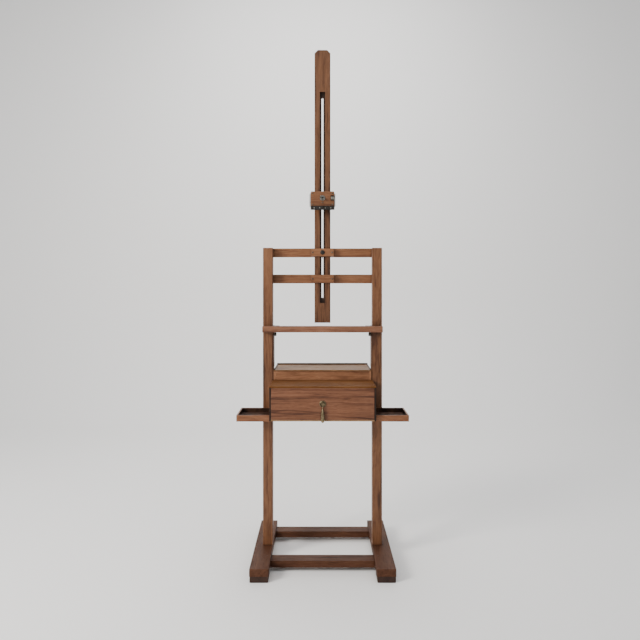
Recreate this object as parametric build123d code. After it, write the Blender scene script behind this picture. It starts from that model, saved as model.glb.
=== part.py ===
"""Studio box easel in oak: an H-frame on two runner feet, with a sliding picture ledge, a slotted
mast with a sliding canvas clamp, a paint box with a drawer and a hinged lid, and two side trays.

Millimetres. X runs to the right, Y to the back and Z up. The origin is on the floor, in the
middle of the rectangle that the feet stand on. The right-hand piece of each pair is modelled,
and the left-hand one is its mirror image.
"""

from build123d import *
import os

# ---------------------------------------------------------------- driving dimensions
# Feet and stretchers
foot_length = 568.0
foot_width = 80.0
foot_beam_height = 32.0
pad_height = 25.0
pad_length = 80.0
pad_inset = 1.5
pad_corner = 4.0
stretcher_depth = 65.0
stretcher_height = 29.0
stretcher_bottom = 18.0  # from the floor
front_stretcher_setback = 106.0  # from the front end of the feet
rear_stretcher_setback = 59.0  # from the rear end of the feet
stretcher_tenon_depth = 45.0
stretcher_tenon_height = 13.0
stretcher_tenon_length = 32.0

# Posts and the rails that join them
post_gap = 450.0  # clear width between the posts
post_width = 44.0
post_depth = 45.0
post_top = 1400.0
post_setback = 253.0  # from the front end of the feet
post_inset = 1.0  # from the inner side of the foot
post_tenon_width = 18.0
post_tenon_depth = 32.0
post_tenon_length = 24.0
rail_height = 40.0
rail_thickness = 20.0
rail_spacing = 120.0  # from the top of one rail to the top of the other
peg_radius = 4.0

# Mast
mast_width = 72.0
mast_thickness = 22.0
mast_length = 1242.0
mast_insert = 340.0  # how far the mast reaches down below the top of the posts
mast_corner = 15.0
channel_width = 24.0
channel_depth = 9.0
channel_bottom_inset = 90.0  # from the mast's lower end
channel_top_inset = 191.0  # from the mast's upper end
slit_clearance = 0.45  # on each side of a bolt
slit_inset = 24.0  # from each end of the channel to the end of the slit
guide_cleat_width = 15.0
guide_keeper_thickness = 8.0

# Canvas clamp on the mast
clamp_rise = 187.0  # from the top of the posts to the clamp's underside
clamp_height = 68.0
clamp_block_thickness = 21.0
clamp_cheek_width = 17.0
clamp_plate_overhang = 6.0  # how far the back plate stands out beyond each cheek
clamp_plate_thickness = 3.0
clamp_tongue_height = 50.0
clamp_tongue_thickness = 8.0
clamp_bolt_rise = 4.0  # how far the clamp's bolt is above the middle of its block
lip_thickness = 3.0
lip_reach = 18.0
lip_drop = 18.0
side_knob_radius = 9.8
side_knob_length = 18.0
side_knob_ridges = 24
side_knob_proud = 2.5  # how far the side knob stands out of the block's end

# Picture ledge and its guides
ledge_height = 27.0
ledge_depth = 40.0
ledge_groove_width = 9.0
ledge_groove_depth = 5.0
stile_length = 189.0
stile_web = 4.0
stile_front_setback = 5.0
stile_flange_width = 38.0
stile_flange_thickness = 20.0
ledge_block_width = 24.0
stop_height = 55.0
thumbscrew_drop = 12.0  # from the ledge's underside to the thumbscrew's axis
thumbscrew_head_radius = 7.5
thumbscrew_head_length = 11.0
thumbscrew_shank_radius = 3.0

# Paint box
box_bottom = 656.0
box_height = 147.0
box_depth = 421.0
box_overhang = 199.0  # how far the box stands in front of the posts
box_wall = 6.5
box_top_board = 6.0
box_floor = 6.0
lid_height = 45.0
lid_wall = 10.0
lid_panel_thickness = 6.0
lid_front_lead = 5.0  # how far the lid stands in front of the posts
lid_side_gap = 0.7  # between the lid and the stops beside it
lid_rim_width = 5.0
lid_rim_height = 7.0
well_depth = 32.0
well_floor_thickness = 5.0

# Drawer and its pull
drawer_front_thickness = 12.0
drawer_wall = 8.0
drawer_bottom_thickness = 4.0
drawer_rear_gap = 7.0
drawer_front_gap = 0.8
drawer_top_gap = 1.0
drawer_guide_height = 10.0
drawer_guide_thickness = 3.5
divider_thickness = 5.0
pull_plate_radius = 14.0
pull_plate_thickness = 3.0
pull_pin_radius = 1.5
pull_pin_standoff = 9.0  # from the drawer front to the pin the drop hangs on
pull_stud_radius = 5.0
pull_eye_thickness = 3.0
pull_eye_radius = 3.6
pull_drop_length = 78.0
pull_drop_radius = 8.2

# Side trays
tray_reach = 141.0  # from the side of the box to the tray's end
tray_floor = 9.0
tray_wall = 6.0
tray_wall_height = 17.5
tray_front_setback = 20.0  # from the front of the box
tray_drop = 5.0  # how far the tray's underside is below the box's

# Hinges of the lid
hinge_length = 50.0
hinge_centre = 140.0  # from the middle of the box
hinge_leaf_height = 22.0
hinge_leaf_thickness = 1.5
hinge_knuckle_radius = 3.0
hinge_pin_radius = 1.5
hinge_screws_per_leaf = 3

# Bolts and screws
bolt_radius = 4.0
bolt_head_radius = 10.0
bolt_head_height = 4.5
washer_radius = 12.0
washer_thickness = 2.0
mast_nut_sizes = (8.0, 12.0, 52.0, 15.0)  # hub radius and height, wing span and height
clamp_nut_sizes = (6.6, 8.0, 30.0, 9.0)
rail_screw_head = 5.0  # the radius of each screw's head, and below it of its shank
rail_screw_radius = 2.5
guide_screw_head = 4.0
guide_screw_radius = 2.0
box_screw_head = 5.0
box_screw_radius = 2.5
tray_screw_head = 3.0
tray_screw_radius = 1.5
clamp_screw_head = 3.5
clamp_screw_radius = 1.75
tongue_screw_radius = 2.0
hinge_screw_head = 2.3
hinge_screw_radius = 1.1
pull_tail_radius = 2.0

# Fits and edges
slide_clearance = 0.4
joint_clearance = 0.1
running_clearance = 0.05
eased = 2.0
eased_small = 1.0

# ---------------------------------------------------------------- places worked out from them
foot_front = -foot_length / 2
foot_rear = foot_length / 2
foot_top = pad_height + foot_beam_height
post_inner = post_gap / 2
post_outer = post_inner + post_width
post_middle = post_inner + post_width / 2
post_front = foot_front + post_setback
post_rear = post_front + post_depth
post_centre_y = (post_front + post_rear) / 2
foot_inner = post_inner - post_inset
foot_outer = foot_inner + foot_width

top_rail_z = (post_top - rail_height, post_top)
middle_rail_z = (top_rail_z[0] - rail_spacing, top_rail_z[1] - rail_spacing)
rail_y = (post_rear, post_rear + rail_thickness)

mast_bottom = post_top - mast_insert
mast_top = mast_bottom + mast_length
mast_rear = post_rear - slide_clearance
mast_front = mast_rear - mast_thickness
mast_half = mast_width / 2
channel_bottom = mast_bottom + channel_bottom_inset
channel_top = mast_top - channel_top_inset
slit_width = 2 * (bolt_radius + slit_clearance)
keeper_rear = mast_front - slide_clearance
keeper_front = keeper_rear - guide_keeper_thickness
cleat_inner = mast_half + slide_clearance
cleat_outer = cleat_inner + guide_cleat_width

clamp_bottom = post_top + clamp_rise
clamp_top = clamp_bottom + clamp_height
clamp_centre_z = (clamp_bottom + clamp_top) / 2 + clamp_bolt_rise
clamp_block_rear = mast_front - slide_clearance
clamp_block_front = clamp_block_rear - clamp_block_thickness
clamp_inner = mast_half + slide_clearance
clamp_half = clamp_inner + clamp_cheek_width
clamp_rear = mast_rear + slide_clearance
side_knob_y = (clamp_block_front + clamp_block_rear) / 2
side_knob_end = clamp_half + side_knob_proud
side_knob_start = side_knob_end - side_knob_length

box_half = post_inner
box_inner = box_half - box_wall
box_front = post_front - box_overhang
box_rear = box_front + box_depth
box_top = box_bottom + box_height
board_bottom = box_top - box_top_board
stile_outer = post_inner - slide_clearance
stile_inner = stile_outer - stile_web
stop_inner = stile_inner
lid_half = stop_inner - lid_side_gap
well_half = lid_half - lid_wall
lid_front = post_front - lid_front_lead
lid_top = box_top + lid_height
lid_seat = box_top + slide_clearance
board_rear = lid_front + lid_wall + 2.0
well_z = board_bottom + box_top_board - well_depth

stile_bottom = box_top + stop_height
ledge_top = stile_bottom + stile_length
ledge_bottom = ledge_top - ledge_height
ledge_rear = post_front - slide_clearance
ledge_front = ledge_rear - ledge_depth
flange_front = post_rear + slide_clearance
flange_rear = flange_front + stile_flange_thickness

drawer_half = box_inner - drawer_front_gap
drawer_bottom = box_bottom + box_floor + drawer_front_gap
drawer_front_top = board_bottom - drawer_top_gap
drawer_rear = box_rear - box_wall - drawer_rear_gap
drawer_shell_half = box_inner - drawer_guide_thickness - slide_clearance
drawer_shell_bottom = box_bottom + box_floor + slide_clearance
drawer_shell_top = well_z - well_floor_thickness - 3.0
shell_front = box_front + drawer_front_thickness
pull_z = (drawer_bottom + drawer_front_top) / 2
pull_y = box_front - pull_pin_standoff

tray_inner = box_half
tray_outer = box_half + tray_reach
tray_front = box_front + tray_front_setback
tray_rear = post_front
tray_bottom = box_bottom - tray_drop
tray_floor_top = tray_bottom + tray_floor
tray_top = tray_floor_top + tray_wall_height

hinge_y = box_rear + hinge_knuckle_radius + 0.5
hinge_z = box_top + slide_clearance / 2


# ---------------------------------------------------------------- making pieces
def board(x, y, z, edge=0.0):
    """A board between the low and high limit on each axis, with its edges rounded by edge."""
    centre = Pos((x[0] + x[1]) / 2, (y[0] + y[1]) / 2, (z[0] + z[1]) / 2)
    piece = centre * Box(x[1] - x[0], y[1] - y[0], z[1] - z[0])
    return fillet(piece.edges(), edge) if edge else piece


def rod(start, direction, radius, length):
    """A round bar that starts at a point and runs along a direction."""
    bar = Cylinder(radius, length, align=(Align.CENTER, Align.CENTER, Align.MIN))
    return Plane(origin=start, z_dir=direction) * bar


def both(piece):
    """The right-hand piece and its mirror image on the left."""
    return [piece, piece.mirror(Plane.YZ)]


def screw(at, direction, head_radius, shank_radius, length):
    """A slotted round-head screw whose head sits on the surface at a point, driven along direction."""
    head_height = head_radius * 0.55
    head = Cylinder(head_radius, head_height, align=(Align.CENTER, Align.CENTER, Align.MIN))
    head = fillet(head.edges().sort_by(Axis.Z)[-1], head_height * 0.85)
    slot = Pos(0, 0, head_height) * Box(head_radius * 2, head_radius * 0.25, head_height * 0.8)
    shank = Cylinder(shank_radius, length, align=(Align.CENTER, Align.CENTER, Align.MAX))
    return Plane(origin=at, z_dir=-direction) * (head - slot + shank)


def flush_screw(at, direction, head_radius, shank_radius, length):
    """A countersunk screw whose head is flush with the surface at a point, driven along direction."""
    head_height = head_radius - shank_radius
    head = Cone(shank_radius, head_radius, head_height, align=(Align.CENTER, Align.CENTER, Align.MAX))
    slot = Box(head_radius * 2, head_radius * 0.25, head_height * 0.6)
    shank = Cylinder(shank_radius, length, align=(Align.CENTER, Align.CENTER, Align.MAX))
    return Plane(origin=at, z_dir=-direction) * (head + shank - slot)


def flush_hole(at, direction, head_radius, shank_radius, length):
    """The countersunk hole that a flush screw fills."""
    grown = head_radius + joint_clearance
    thin = shank_radius + joint_clearance
    head = Cone(thin, grown, grown - thin, align=(Align.CENTER, Align.CENTER, Align.MAX))
    shank = Cylinder(thin, length + joint_clearance, align=(Align.CENTER, Align.CENTER, Align.MAX))
    return Plane(origin=at, z_dir=-direction) * (head + shank)


def coach_bolt(at, direction, length):
    """A round-headed bolt whose head sits on the surface at a point, with its shank along direction."""
    head = Cylinder(bolt_head_radius, bolt_head_height, align=(Align.CENTER, Align.CENTER, Align.MIN))
    head = fillet(head.edges().sort_by(Axis.Z)[-1], bolt_head_height * 0.9)
    shank = Cylinder(bolt_radius, length, align=(Align.CENTER, Align.CENTER, Align.MAX))
    return Plane(origin=at, z_dir=-direction) * (head + shank)


def washer(at, direction):
    """A flat washer on a bolt, lying on the surface at a point and rising along direction."""
    ring = Cylinder(washer_radius, washer_thickness, align=(Align.CENTER, Align.CENTER, Align.MIN))
    ring -= Cylinder(bolt_radius + joint_clearance, washer_thickness * 3)
    return Plane(origin=at, z_dir=direction) * ring


def wing_nut(at, direction, hub_radius, hub_height, wing_span, wing_height, turn):
    """A wing nut seated at a point, standing along direction, with its wings turned by turn degrees."""
    hub = Cone(hub_radius, hub_radius * 0.8, hub_height, align=(Align.CENTER, Align.CENTER, Align.MIN))
    wing_length = wing_span / 2 - hub_radius * 0.6
    wing = Box(wing_length, hub_radius * 0.4, wing_height, align=(Align.MIN, Align.CENTER, Align.MIN))
    wing = fillet(wing.edges().filter_by(Axis.Y), min(wing_length, wing_height) * 0.35)
    wing = Pos(hub_radius * 0.6, 0, hub_height * 0.35) * Rot(0, -12, 0) * wing
    bore = Cylinder(bolt_radius + running_clearance, hub_height * 4)
    nut = hub + wing + Rot(0, 0, 180) * wing - bore
    return Plane(origin=at, z_dir=direction) * Rot(0, 0, turn) * nut


to_right = Vector(1, 0, 0)
to_left = Vector(-1, 0, 0)
to_back = Vector(0, 1, 0)
to_front = Vector(0, -1, 0)
downwards = Vector(0, 0, -1)


# ---------------------------------------------------------------- feet, pads and stretchers
def stretcher_places():
    """The front and rear limits of the front and the rear stretcher."""
    front = foot_front + front_stretcher_setback
    rear = foot_rear - rear_stretcher_setback
    return (front, front + stretcher_depth), (rear - stretcher_depth, rear)


def stretcher_tenon(y, clearance=0.0):
    """The right-hand tenon of a stretcher, or its mortise when a clearance is given."""
    middle_y = (y[0] + y[1]) / 2
    middle_z = (max(pad_height, stretcher_bottom) + stretcher_bottom + stretcher_height) / 2
    half_depth = stretcher_tenon_depth / 2 + clearance
    half_height = stretcher_tenon_height / 2 + clearance
    return board(
        (foot_inner - 1, foot_inner + stretcher_tenon_length + clearance),
        (middle_y - half_depth, middle_y + half_depth),
        (middle_z - half_height, middle_z + half_height),
    )


def post_tenon(clearance=0.0):
    """The right-hand post's tenon, or its mortise when a clearance is given."""
    half_width = post_tenon_width / 2 + clearance
    half_depth = post_tenon_depth / 2 + clearance
    return board(
        (post_middle - half_width, post_middle + half_width),
        (post_centre_y - half_depth, post_centre_y + half_depth),
        (foot_top - post_tenon_length - clearance, foot_top + 1),
    )


def stretcher_peg(y, radius):
    """The upright peg that locks a stretcher's tenon in the foot."""
    at = Vector(foot_inner + stretcher_tenon_length / 2, (y[0] + y[1]) / 2, foot_top)
    return rod(at, downwards, radius, foot_beam_height - 6.0)


def post_peg(radius):
    """The level peg that locks the post's tenon in the foot, driven from the outer side."""
    at = Vector(foot_outer, post_centre_y, foot_top - post_tenon_length / 2)
    return rod(at, to_left, radius, foot_outer - post_middle + post_tenon_width / 2 + 6.0)


def feet():
    beam = board((foot_inner, foot_outer), (foot_front, foot_rear), (pad_height, foot_top), eased)
    beam -= post_tenon(joint_clearance)
    beam -= post_peg(peg_radius + joint_clearance)
    for y in stretcher_places():
        beam -= stretcher_tenon(y, joint_clearance)
        beam -= stretcher_peg(y, peg_radius + joint_clearance)
    return both(beam)


def foot_pads():
    x = (foot_inner + pad_inset, foot_outer - pad_inset)
    front = (foot_front + pad_inset, foot_front + pad_inset + pad_length)
    rear = (-front[1], -front[0])
    pads = []
    for y in (front, rear):
        pad = board(x, y, (0, pad_height))
        pad = fillet(pad.edges().filter_by(Axis.Y), pad_corner)
        pads += both(fillet(pad.edges().filter_by(Axis.X), eased_small))
    return pads


def stretcher(y):
    z = (stretcher_bottom, stretcher_bottom + stretcher_height)
    tenon = stretcher_tenon(y) - stretcher_peg(y, peg_radius + joint_clearance)
    bar = board((-foot_inner, foot_inner), y, z, eased_small)
    right, left = both(tenon)
    return bar + right + left


def joint_pegs():
    pegs = [stretcher_peg(y, peg_radius) for y in stretcher_places()] + [post_peg(peg_radius)]
    return [copy for peg in pegs for copy in both(peg)]


# ---------------------------------------------------------------- posts and rails
def rail_screw_places():
    """Where the screws that hold the rails to the right-hand post enter the rails' rear faces."""
    for z in (top_rail_z, middle_rail_z):
        for share in (0.28, 0.72):
            x = post_inner + post_width * share
            yield Vector(x, rail_y[1], z[0] + rail_height * (1.0 - share))


def box_screw_places():
    """Where the screws that hold the box to the right-hand post enter the box's inner wall."""
    for share in (0.25, 0.75):
        yield Vector(box_inner, post_centre_y, box_bottom + box_height * share)


rail_screw_length = rail_thickness + 24.0
box_screw_length = box_wall + 24.0


def posts():
    post = board((post_inner, post_outer), (post_front, post_rear), (foot_top, post_top), eased)
    post += post_tenon()
    post -= post_peg(peg_radius + joint_clearance)
    for at in rail_screw_places():
        post -= rod(at, to_front, rail_screw_radius + joint_clearance, rail_screw_length + joint_clearance)
    for at in box_screw_places():
        post -= flush_hole(at, to_right, box_screw_head, box_screw_radius, box_screw_length)
    return both(post)


def rail(z):
    bar = board((-post_outer, post_outer), rail_y, z, eased)
    for at in rail_screw_places():
        for side in both(rod(at, to_front, rail_screw_radius + joint_clearance, rail_screw_length)):
            bar -= side
    return bar


# ---------------------------------------------------------------- mast and its guides
def guide_limits(z):
    """The low and high limit of the mast guide that sits on a rail."""
    return (z[0] + 2.0, z[1] - 2.0)


def guide_screw_places():
    """Where the screws of the right-hand cleats enter the fronts of the keepers."""
    for z in (top_rail_z, middle_rail_z):
        yield Vector((cleat_inner + cleat_outer) / 2, keeper_front, (z[0] + z[1]) / 2)


guide_screw_length = guide_keeper_thickness + mast_thickness + rail_thickness * 0.7


def guide_cleats():
    cleats = []
    for z in (top_rail_z, middle_rail_z):
        cleat = board((cleat_inner, cleat_outer), (keeper_rear, post_rear), guide_limits(z), eased_small)
        for at in guide_screw_places():
            cleat -= rod(at, to_back, guide_screw_radius + joint_clearance, guide_screw_length)
        cleats += both(cleat)
    return cleats


def guide_keepers():
    keepers = []
    for z in (top_rail_z, middle_rail_z):
        y = (keeper_front, keeper_rear)
        keeper = board((-cleat_outer, cleat_outer), y, guide_limits(z), eased_small)
        for at in guide_screw_places():
            for side in both(rod(at, to_back, guide_screw_radius + joint_clearance, guide_screw_length)):
                keeper -= side
        keeper -= mast_bolt_hole()
        keepers.append(keeper)
    return keepers


def rail_screws():
    """The screws through the rails into the posts, and through the mast's guides into the rails."""
    screws = []
    for at in rail_screw_places():
        screws += both(screw(at, to_front, rail_screw_head, rail_screw_radius, rail_screw_length))
    for at in guide_screw_places():
        screws += both(screw(at, to_back, guide_screw_head, guide_screw_radius, guide_screw_length))
    return screws


mast_bolt_at = Vector(0, keeper_front, (top_rail_z[0] + top_rail_z[1]) / 2)
mast_bolt_length = rail_y[1] - keeper_front + washer_thickness + 20.0
mast_nut_at = Vector(0, rail_y[1] + washer_thickness + joint_clearance, mast_bolt_at.Z)


def mast_bolt_hole():
    return rod(mast_bolt_at, to_back, bolt_radius + joint_clearance, mast_bolt_length)


def guide_rail(z):
    """A rail with the holes for the guide's screws and the mast's clamp bolt."""
    bar = rail(z)
    radius = guide_screw_radius + joint_clearance
    for at in guide_screw_places():
        for side in both(rod(at, to_back, radius, guide_screw_length + joint_clearance)):
            bar -= side
    return bar - mast_bolt_hole()


def mast():
    bar = board((-mast_half, mast_half), (mast_front, mast_rear), (mast_bottom, mast_top))
    top_corners = bar.edges().filter_by(Axis.Y).group_by(Axis.Z)[-1]
    bar = chamfer(top_corners, mast_corner)
    outline = bar.faces().sort_by(Axis.Y)[0].edges() + bar.faces().sort_by(Axis.Y)[-1].edges()
    bar = fillet(outline, eased_small)
    channel_z = (channel_bottom, channel_top)
    half = channel_width / 2
    bar -= board((-half, half), (mast_front - 1, mast_front + channel_depth), channel_z)
    slit_z = (channel_bottom + slit_inset, channel_top - slit_inset)
    return bar - board((-slit_width / 2, slit_width / 2), (mast_front - 1, mast_rear + 1), slit_z)


# ---------------------------------------------------------------- canvas clamp
clamp_bolt_at = Vector(0, clamp_rear + clamp_plate_thickness, clamp_centre_z)
clamp_washer_at = Vector(0, clamp_block_front, clamp_centre_z)
clamp_nut_at = clamp_washer_at - Vector(0, washer_thickness + joint_clearance, 0)
clamp_bolt_length = clamp_bolt_at.Y - clamp_block_front + washer_thickness + 13.0
clamp_screw_length = clamp_block_thickness + mast_thickness * 0.6
tongue_screw_at = Vector(0, clamp_block_front, clamp_centre_z - clamp_tongue_height * 0.4)


def clamp_bolt_hole():
    return rod(clamp_bolt_at, to_front, bolt_radius + joint_clearance, clamp_bolt_length)


def clamp_screw_places():
    """Where the screws of the right-hand cheek enter the front of the clamp's block."""
    for z in (clamp_bottom + 9.0, clamp_top - 9.0):
        yield Vector(clamp_half - clamp_cheek_width / 2, clamp_block_front, z)


def clamp_screw_holes():
    radius = clamp_screw_radius + joint_clearance
    holes = [rod(at, to_back, radius, clamp_screw_length) for at in clamp_screw_places()]
    return [copy for hole in holes for copy in both(hole)]


def tongue_screw(radius):
    """The straight part of the screw that holds the tongue to the block, under the wing nut."""
    return rod(tongue_screw_at, to_back, radius, clamp_block_thickness + clamp_tongue_thickness * 0.7)


def side_knob_shank(radius):
    """The shank of the side knob, which bears on the clamp's bolt."""
    at = Vector(bolt_radius + joint_clearance, side_knob_y, clamp_centre_z)
    return rod(at, to_right, radius, side_knob_start - at.X)


def side_knob():
    """A knurled knob in a notch in the block's right-hand end, which locks the clamp's bolt."""
    start = Vector(side_knob_start, side_knob_y, clamp_centre_z)
    knob = rod(start, to_right, side_knob_radius, side_knob_length)
    knob = chamfer(knob.edges().filter_by(GeomType.CIRCLE), 0.8)
    for ridge in range(side_knob_ridges):
        groove = rod(start - to_right + to_front * side_knob_radius, to_right, 0.55, side_knob_length + 2)
        axis = Axis(start, to_right)
        knob -= groove.rotate(axis, 360.0 * ridge / side_knob_ridges)
    return knob + side_knob_shank(thumbscrew_shank_radius)


def clamp_block():
    """The block in front of the mast, with its upper corners cut back and a notch for the side knob."""
    x = (-clamp_half, clamp_half)
    block = board(x, (clamp_block_front, clamp_block_rear), (clamp_bottom, clamp_top))
    upper_corners = block.edges().filter_by(Axis.Y).group_by(Axis.Z)[-1]
    block = fillet(upper_corners, 5.0)
    block = fillet(block.faces().sort_by(Axis.Y)[0].edges(), eased_small)
    notch_half = side_knob_radius + 2.0
    notch = board(
        (side_knob_start - 0.6, clamp_half + 1),
        (clamp_block_front - 1, clamp_block_rear + 1),
        (clamp_centre_z - notch_half, clamp_centre_z + notch_half),
    )
    block -= notch
    for hole in clamp_screw_holes():
        block -= hole
    block -= side_knob_shank(thumbscrew_shank_radius + running_clearance)
    block -= tongue_screw(tongue_screw_radius + joint_clearance)
    return block - clamp_bolt_hole()


def clamp_tongue():
    half = channel_width / 2 - slide_clearance
    z = (clamp_centre_z - clamp_tongue_height / 2, clamp_centre_z + clamp_tongue_height / 2)
    depth = (clamp_block_rear, clamp_block_rear + slide_clearance + clamp_tongue_thickness)
    tongue = board((-half, half), depth, z, 0.5) - clamp_bolt_hole()
    return tongue - tongue_screw(tongue_screw_radius + joint_clearance)


def clamp_cheeks():
    cheek = board((clamp_inner, clamp_half), (clamp_block_rear, clamp_rear), (clamp_bottom, clamp_top), 0.8)
    for hole in clamp_screw_holes()[::2]:
        cheek -= hole
    return both(cheek)


def clamp_plate():
    half = clamp_half + clamp_plate_overhang
    depth = (clamp_rear, clamp_rear + clamp_plate_thickness)
    plate = board((-half, half), depth, (clamp_bottom + 2.0, clamp_top - 2.0))
    plate = fillet(plate.edges().filter_by(Axis.Y), 6.0)
    return plate - clamp_bolt_hole()


def clamp_lip():
    """The angle under the clamp whose front edge hooks over the top of a canvas."""
    front = clamp_block_front - lip_reach
    z = (clamp_bottom - lip_thickness, clamp_bottom)
    shelf = board((-clamp_half, clamp_half), (front, clamp_block_rear), z)
    hook_z = (clamp_bottom - lip_drop, clamp_bottom)
    hook = board((-clamp_half, clamp_half), (front, front + lip_thickness), hook_z)
    return fillet((shelf + hook).edges().filter_by(Axis.Y), 0.8)


def clamp_screws():
    screws = []
    for at in clamp_screw_places():
        screws += both(screw(at, to_back, clamp_screw_head, clamp_screw_radius, clamp_screw_length))
    length = clamp_block_thickness + clamp_tongue_thickness * 0.6
    return [*screws, screw(tongue_screw_at, to_back, clamp_screw_head, tongue_screw_radius, length)]


# ---------------------------------------------------------------- picture ledge
thumbscrew_at = Vector(stile_inner, post_centre_y, ledge_bottom - thumbscrew_drop)


def ledge():
    bar = board((-post_outer, post_outer), (ledge_front, ledge_rear), (ledge_bottom, ledge_top), eased)
    groove_y = ledge_front + ledge_depth * 0.35
    groove = (groove_y, groove_y + ledge_groove_width)
    groove_z = (ledge_top - ledge_groove_depth, ledge_top + 1)
    return bar - board((-post_outer - 1, post_outer + 1), groove, groove_z)


def stiles():
    """The guides that run on the inner sides and the backs of the posts, each an L in plan."""
    z = (stile_bottom, ledge_top)
    web = board((stile_inner, stile_outer), (post_front + stile_front_setback, flange_rear), z)
    flange = board((stile_inner, stile_inner + stile_flange_width), (flange_front, flange_rear), z)
    stile = fillet((web + flange).edges().filter_by(Axis.Z).sort_by(Axis.Y)[-2:], eased)
    hole_radius = thumbscrew_shank_radius + running_clearance
    return both(stile - rod(thumbscrew_at - to_right, to_right, hole_radius, stile_web + 2))


def ledge_blocks():
    """The blocks in the corners between the ledge and its guides."""
    x = (stile_inner - ledge_block_width, stile_inner)
    rear = post_rear - slide_clearance
    return both(board(x, (ledge_rear, rear), (ledge_bottom, ledge_top), eased_small))


def thumbscrew():
    head = rod(
        thumbscrew_at - to_right * (thumbscrew_head_length + 0.5),
        to_right,
        thumbscrew_head_radius,
        thumbscrew_head_length,
    )
    head = chamfer(head.edges().filter_by(GeomType.CIRCLE), 1.2)
    shank_length = post_inner - stile_inner + thumbscrew_head_length - 0.1
    shank_start = thumbscrew_at - to_right * thumbscrew_head_length
    return head + rod(shank_start, to_right, thumbscrew_shank_radius, shank_length)


def ledge_stops():
    """The cleats on the posts that the ledge's guides come down on."""
    x = (stop_inner, post_inner)
    return both(board(x, (post_front, post_rear), (box_top, stile_bottom), 0.8))


# ---------------------------------------------------------------- paint box
def box_sides():
    side = board((box_inner, box_half), (box_front, box_rear), (box_bottom, box_top))
    side -= board((box_inner - 1, box_half + 1), (box_front - 1, board_rear), (board_bottom, box_top + 1))
    side = fillet(side.edges().filter_by(Axis.Z), eased_small)
    for at in box_screw_places():
        side -= flush_hole(at, to_right, box_screw_head, box_screw_radius, box_screw_length)
    for at in tray_screw_places():
        side -= flush_hole(at, to_right, tray_screw_head, tray_screw_radius, tray_screw_length)
    return both(side)


def tray_screw_places():
    """Where the screws that hold the right-hand tray enter the box's inner wall."""
    for y in (tray_front + tray_wall / 2, tray_rear - tray_wall / 2):
        yield Vector(box_inner, y, tray_floor_top + tray_wall_height / 2)


tray_screw_length = box_wall + 20.0


def box_screws():
    """The countersunk screws that hold the box to the posts and the trays to the box."""
    screws = []
    for at in box_screw_places():
        screws += both(flush_screw(at, to_right, box_screw_head, box_screw_radius, box_screw_length))
    for at in tray_screw_places():
        screws += both(flush_screw(at, to_right, tray_screw_head, tray_screw_radius, tray_screw_length))
    return screws


def box_back():
    back = board((-box_inner, box_inner), (box_rear - box_wall, box_rear), (box_bottom, box_top))
    for hole in hinge_screw_holes(box_leaf_z):
        back -= hole
    return back


def box_floor_board():
    y = (box_front + eased_small, box_rear - box_wall)
    return board((-box_inner, box_inner), y, (box_bottom, box_bottom + box_floor))


def box_top_front():
    board_front = box_front - 2.0
    return board((-box_half, box_half), (board_front, board_rear), (board_bottom, box_top), eased_small)


def well_floor_board():
    y = (board_rear - lid_wall, box_rear - box_wall)
    return board((-box_inner, box_inner), y, (well_z - well_floor_thickness, well_z))


def well_walls():
    """The front and side walls of the well under the lid; the box's back closes it."""
    y = (board_rear - lid_wall, board_rear)
    front = board((-box_inner, box_inner), y, (well_z, board_bottom))
    side = board((well_half, box_inner), (board_rear, box_rear - box_wall), (well_z, box_top))
    return [front, *both(side)]


def drawer_guides():
    """The strips on the box's walls that keep the drawer square."""
    x = (box_inner - drawer_guide_thickness, box_inner)
    z = (box_bottom + box_floor, box_bottom + box_floor + drawer_guide_height)
    return both(board(x, (shell_front + 2.0, box_rear - box_wall), z))


# ---------------------------------------------------------------- lid
def lid_panel():
    z = (lid_top - lid_panel_thickness, lid_top)
    return board((-lid_half, lid_half), (lid_front, box_rear), z, eased)


def lid_walls():
    """The front, the back and the two sides of the lid, under its panel."""
    z = (lid_seat, lid_top - lid_panel_thickness)
    front = board((-lid_half, lid_half), (lid_front, lid_front + lid_wall), z)
    back = board((-lid_half, lid_half), (box_rear - lid_wall, box_rear), z)
    for hole in hinge_screw_holes(lid_leaf_z):
        back -= hole
    side = board((lid_half - lid_wall, lid_half), (lid_front + lid_wall, box_rear - lid_wall), z)
    return [fillet(front.edges().filter_by(Axis.Z), eased_small), back, *both(side)]


def lid_rim():
    """The low rim round three sides of the lid's top, which keeps tubes from rolling off."""
    z = (lid_top, lid_top + lid_rim_height)
    back = board((-lid_half, lid_half), (box_rear - lid_rim_width, box_rear), z, eased_small)
    side_z = (lid_top, lid_top + lid_rim_height * 0.5)
    y = (lid_front + lid_wall, box_rear - lid_rim_width)
    return [back, *both(board((lid_half - lid_rim_width, lid_half), y, side_z, eased_small))]


def hinge_screw_places(centre_x, z):
    """Where a leaf's screws enter its rear face, given the leaf's low and high limit in height."""
    for place in range(hinge_screws_per_leaf):
        share = (place + 0.5) / hinge_screws_per_leaf
        x = centre_x + hinge_length * (share - 0.5)
        yield Vector(x, box_rear + hinge_leaf_thickness, (z[0] + z[1]) / 2)


hinge_screw_length = hinge_leaf_thickness + 7.0


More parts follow.
